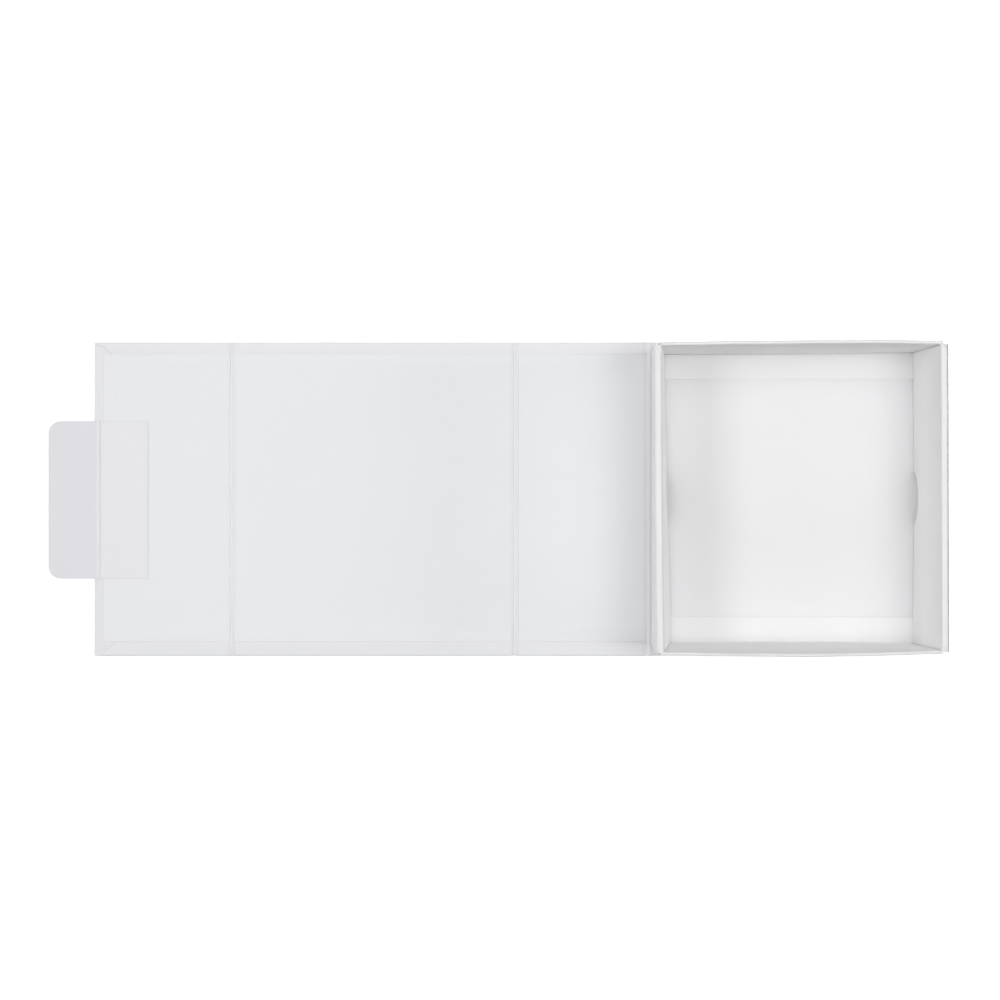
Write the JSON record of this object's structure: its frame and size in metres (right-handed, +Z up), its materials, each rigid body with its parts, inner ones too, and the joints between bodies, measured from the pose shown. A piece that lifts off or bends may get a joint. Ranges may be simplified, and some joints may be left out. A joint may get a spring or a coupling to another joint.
{
  "type": "gift box",
  "caption": "Wrap-around white gift box laid open: hinged cover panels, a tuck tab and a folded card tray with half-moon thumb notches.",
  "frame": {"origin": "on the surface the opened box lies on, under the middle of its outline", "axes": "+X from the tuck tab through flap, lid and spine to the tray, +Y to the back edge, +Z up out of the tray"},
  "size_m": [0.5608, 0.2, 0.0837],
  "materials": {
    "wrap_paper": "smooth matte white printed wrap paper",
    "liner_paper": "matte white liner paper",
    "tab_card": "smooth cool white tab card",
    "tray_card": "matte white coated card",
    "grey_board": "uncoated grey board"
  },
  "bodies": {
    "base": {"base_board": "grey_board", "base_wrap": "wrap_paper", "base_liner": "liner_paper", "tray_pad_middle": "grey_board", "tray_pad_back": "grey_board", "tray_pad_front": "grey_board", "tray_floor": "tray_card", "right_outer_wall": "tray_card", "right_back_dust_flap": "tray_card", "right_front_dust_flap": "tray_card", "back_end_wall": "tray_card", "back_inner_wall": "tray_card", "back_floor_flange": "tray_card", "front_end_wall": "tray_card", "front_inner_wall": "tray_card", "front_floor_flange": "tray_card", "spine_hinge_wrap": "wrap_paper", "spine_hinge_liner": "liner_paper"},
    "left_wall": {"left_outer_wall": "tray_card", "left_back_dust_flap": "tray_card", "left_front_dust_flap": "tray_card"},
    "left_inner_panel": {"left_inner_panel": "tray_card"},
    "right_inner_panel": {"right_inner_panel": "tray_card"},
    "spine": {"spine_board": "grey_board", "spine_wrap": "wrap_paper", "spine_liner": "liner_paper", "lid_hinge_wrap": "wrap_paper", "lid_hinge_liner": "liner_paper"},
    "lid": {"lid_board": "grey_board", "lid_wrap": "wrap_paper", "lid_liner": "liner_paper", "flap_hinge_wrap": "wrap_paper", "flap_hinge_liner": "liner_paper"},
    "flap": {"flap_board": "grey_board", "flap_wrap": "wrap_paper", "flap_liner": "liner_paper", "tab_anchor": "tab_card"},
    "tongue": {"tab_tongue": "tab_card"}
  },
  "joints": [
    {"name": "spine_fold", "type": "hinge", "parent": "base", "child": "spine", "pos_m": [0.1019, 0, 0.00059], "axis": [0, 1, 0], "range_deg": [0, 90], "deforming": ["spine_hinge_wrap", "spine_hinge_liner"]},
    {"name": "left_wall_lean", "type": "hinge", "parent": "base", "child": "left_wall", "pos_m": [0.10446, 0, 0.00415], "axis": [0, 1, 0], "range_deg": [0, 3]},
    {"name": "lid_fold", "type": "hinge", "parent": "spine", "child": "lid", "pos_m": [0.01653, 0, 0.00059], "axis": [0, 1, 0], "range_deg": [0, 90], "deforming": ["lid_hinge_wrap", "lid_hinge_liner"]},
    {"name": "flap_fold", "type": "hinge", "parent": "lid", "child": "flap", "pos_m": [-0.16494, 0, 0.0001], "axis": [0, 1, 0], "range_deg": [0, 90], "deforming": ["flap_hinge_wrap", "flap_hinge_liner"]},
    {"name": "tongue_fold", "type": "hinge", "parent": "flap", "child": "tongue", "pos_m": [-0.24801, 0, 0.0028], "axis": [0, 1, 0], "range_deg": [0, 90]},
    {"name": "left_inner_panel_swing", "type": "hinge", "parent": "left_wall", "child": "left_inner_panel", "pos_m": [0.10441, 0.0007, 0.0816], "axis": [0, -1, 0], "range_deg": [-4.5, 79.5]},
    {"name": "right_inner_panel_swing", "type": "hinge", "parent": "base", "child": "right_inner_panel", "pos_m": [0.27101, 0.0007, 0.0815], "axis": [0, 1, 0], "range_deg": [0, 85]}
  ],
  "couplings": [
    {"joint": "left_wall_lean", "follows": "spine_fold", "ratio": 0.033333}
  ]
}
